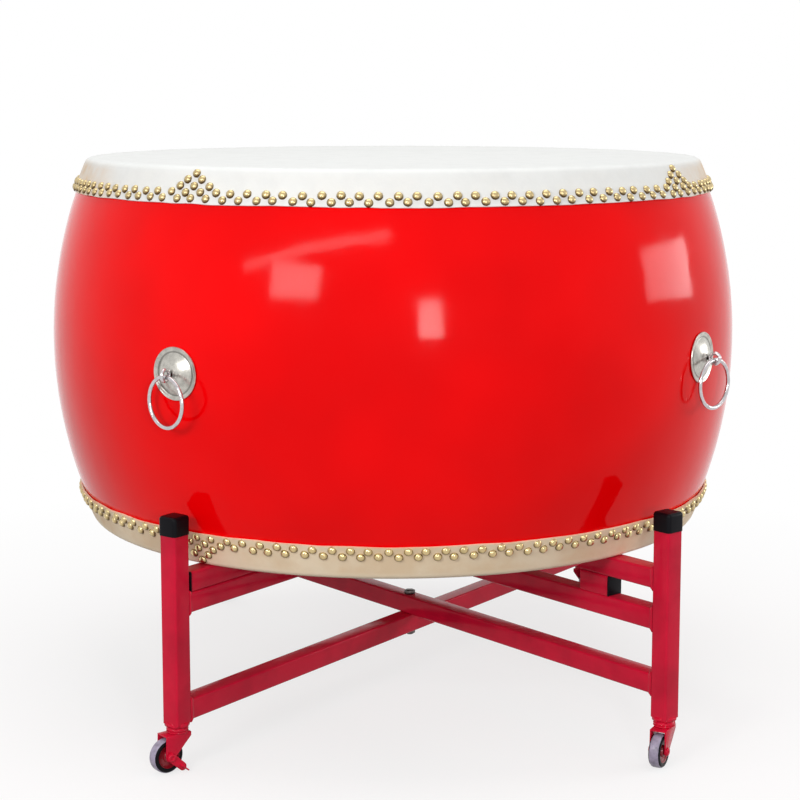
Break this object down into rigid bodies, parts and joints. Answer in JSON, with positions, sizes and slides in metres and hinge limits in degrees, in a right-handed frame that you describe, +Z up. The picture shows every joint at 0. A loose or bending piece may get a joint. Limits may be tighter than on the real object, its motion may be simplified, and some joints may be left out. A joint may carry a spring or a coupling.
{
  "type": "dragon boat drum",
  "caption": "Large lacquered barrel drum with a tacked hide over each end and ring handles, resting on a folding crossed-frame steel stand with capped legs and swivel casters.",
  "frame": {"origin": "On the floor, straight below the middle of the drum, at the bottom centre of the bounding box.", "axes": "Z is up, along the drum's own axis. The front is towards -Y, the side that the picture shows. X runs to the viewer's right."},
  "size_m": [1.1154, 1.1154, 0.8761],
  "materials": {
    "red_lacquer": "wooden barrel under glossy red lacquer",
    "hide": "dry untanned hide, matt cream",
    "chrome": "bright plated steel",
    "red_paint": "gloss crimson paint on steel tube and sheet",
    "black_plastic": "moulded black plastic",
    "zinc": "zinc-plated steel",
    "grey_rubber": "dark grey moulded rubber tread on a plain hub"
  },
  "bodies": {
    "frame_a": {"left_front_post": "red_paint", "right_back_post": "red_paint", "frame_a_lower_bar": "red_paint", "frame_a_upper_bar": "red_paint", "left_front_pad": "red_paint", "right_back_pad": "red_paint", "left_front_pad_plug": "black_plastic", "right_back_pad_plug": "black_plastic", "left_front_cap": "black_plastic", "right_back_cap": "black_plastic", "left_front_caster_race": "red_paint", "right_back_caster_race": "red_paint", "lower_pivot_bolt": "zinc", "lower_pivot_nut": "zinc", "upper_pivot_bolt": "zinc", "upper_pivot_nut": "zinc"},
    "frame_b": {"right_front_post": "red_paint", "left_back_post": "red_paint", "frame_b_lower_bar": "red_paint", "frame_b_upper_bar": "red_paint", "right_front_block": "red_paint", "left_back_block": "red_paint", "right_front_block_plug": "black_plastic", "left_back_block_plug": "black_plastic", "right_front_arm": "red_paint", "left_back_arm": "red_paint", "right_front_cap": "black_plastic", "left_back_cap": "black_plastic", "right_front_caster_race": "red_paint", "left_back_caster_race": "red_paint"},
    "drum": {"drum_shell": "red_lacquer", "top_head": "hide", "bottom_head": "hide", "handle_plate_1": "chrome", "handle_plate_2": "chrome", "handle_plate_3": "chrome", "handle_plate_4": "chrome", "handle_eye_1": "chrome", "handle_eye_2": "chrome", "handle_eye_3": "chrome", "handle_eye_4": "chrome"},
    "ring_1": {"handle_ring_1": "chrome"},
    "ring_2": {"handle_ring_2": "chrome"},
    "ring_3": {"handle_ring_3": "chrome"},
    "ring_4": {"handle_ring_4": "chrome"},
    "left_front_swivel": {"left_front_caster_fork": "red_paint", "left_front_caster_axle": "red_paint"},
    "right_back_swivel": {"right_back_caster_fork": "red_paint", "right_back_caster_axle": "red_paint"},
    "right_front_swivel": {"right_front_caster_fork": "red_paint", "right_front_caster_axle": "red_paint"},
    "left_back_swivel": {"left_back_caster_fork": "red_paint", "left_back_caster_axle": "red_paint"},
    "left_front_wheel": {"left_front_caster_wheel": "grey_rubber"},
    "right_back_wheel": {"right_back_caster_wheel": "grey_rubber"},
    "right_front_wheel": {"right_front_caster_wheel": "grey_rubber"},
    "left_back_wheel": {"left_back_caster_wheel": "grey_rubber"},
    "left_front_pedal": {"left_front_brake_pedal": "red_paint"},
    "right_back_pedal": {"right_back_brake_pedal": "red_paint"}
  },
  "joints": [
    {"name": "stand_fold", "type": "hinge", "parent": "frame_a", "child": "frame_b", "pos_m": [0.02768, -0.00675, 0.1037], "axis": [0, 0, 1], "range_deg": [-65.6, 0]},
    {"name": "drum_lift", "type": "slide", "parent": "frame_a", "child": "drum", "axis": [0, 0, 1], "range_m": [0, 0.3]},
    {"name": "ring_1_swing", "type": "hinge", "parent": "drum", "child": "ring_1", "pos_m": [0.47146, -0.33629, 0.5827], "axis": [-0.7193, -0.6947, 0], "range_deg": [-8, 165]},
    {"name": "ring_2_swing", "type": "hinge", "parent": "drum", "child": "ring_2", "pos_m": [0.33629, 0.47146, 0.5827], "axis": [0.6947, -0.7193, 0], "range_deg": [-8, 165]},
    {"name": "ring_3_swing", "type": "hinge", "parent": "drum", "child": "ring_3", "pos_m": [-0.47146, 0.33629, 0.5827], "axis": [0.7193, 0.6947, 0], "range_deg": [-8, 165]},
    {"name": "ring_4_swing", "type": "hinge", "parent": "drum", "child": "ring_4", "pos_m": [-0.33629, -0.47146, 0.5827], "axis": [-0.6947, 0.7193, 0], "range_deg": [-8, 165]},
    {"name": "left_front_turn", "type": "hinge", "parent": "frame_a", "child": "left_front_swivel", "pos_m": [-0.3291, -0.45049, 0.0567], "axis": [0, 0, 1], "continuous": true},
    {"name": "right_back_turn", "type": "hinge", "parent": "frame_a", "child": "right_back_swivel", "pos_m": [0.38445, 0.437, 0.0567], "axis": [0, 0, 1], "continuous": true},
    {"name": "right_front_turn", "type": "hinge", "parent": "frame_b", "child": "right_front_swivel", "pos_m": [0.38445, -0.45049, 0.0567], "axis": [0, 0, 1], "continuous": true},
    {"name": "left_back_turn", "type": "hinge", "parent": "frame_b", "child": "left_back_swivel", "pos_m": [-0.3291, 0.437, 0.0567], "axis": [0, 0, 1], "continuous": true},
    {"name": "left_front_roll", "type": "hinge", "parent": "left_front_swivel", "child": "left_front_wheel", "pos_m": [-0.34486, -0.4628, 0.025], "axis": [0.6157, -0.788, 0], "continuous": true},
    {"name": "right_back_roll", "type": "hinge", "parent": "right_back_swivel", "child": "right_back_wheel", "pos_m": [0.39704, 0.45254, 0.025], "axis": [-0.7771, 0.6293, 0], "continuous": true},
    {"name": "right_front_roll", "type": "hinge", "parent": "right_front_swivel", "child": "right_front_wheel", "pos_m": [0.37445, -0.46781, 0.025], "axis": [0.866, -0.5, 0], "continuous": true},
    {"name": "left_back_roll", "type": "hinge", "parent": "left_back_swivel", "child": "left_back_wheel", "pos_m": [-0.30935, 0.44012, 0.025], "axis": [-0.1564, 0.9877, 0], "continuous": true},
    {"name": "left_front_brake", "type": "hinge", "parent": "left_front_swivel", "child": "left_front_pedal", "pos_m": [-0.34486, -0.4628, 0.025], "axis": [0.6157, -0.788, 0], "range_deg": [0, 25]},
    {"name": "right_back_brake", "type": "hinge", "parent": "right_back_swivel", "child": "right_back_pedal", "pos_m": [0.39704, 0.45254, 0.025], "axis": [-0.7771, 0.6293, 0], "range_deg": [0, 25]}
  ]
}
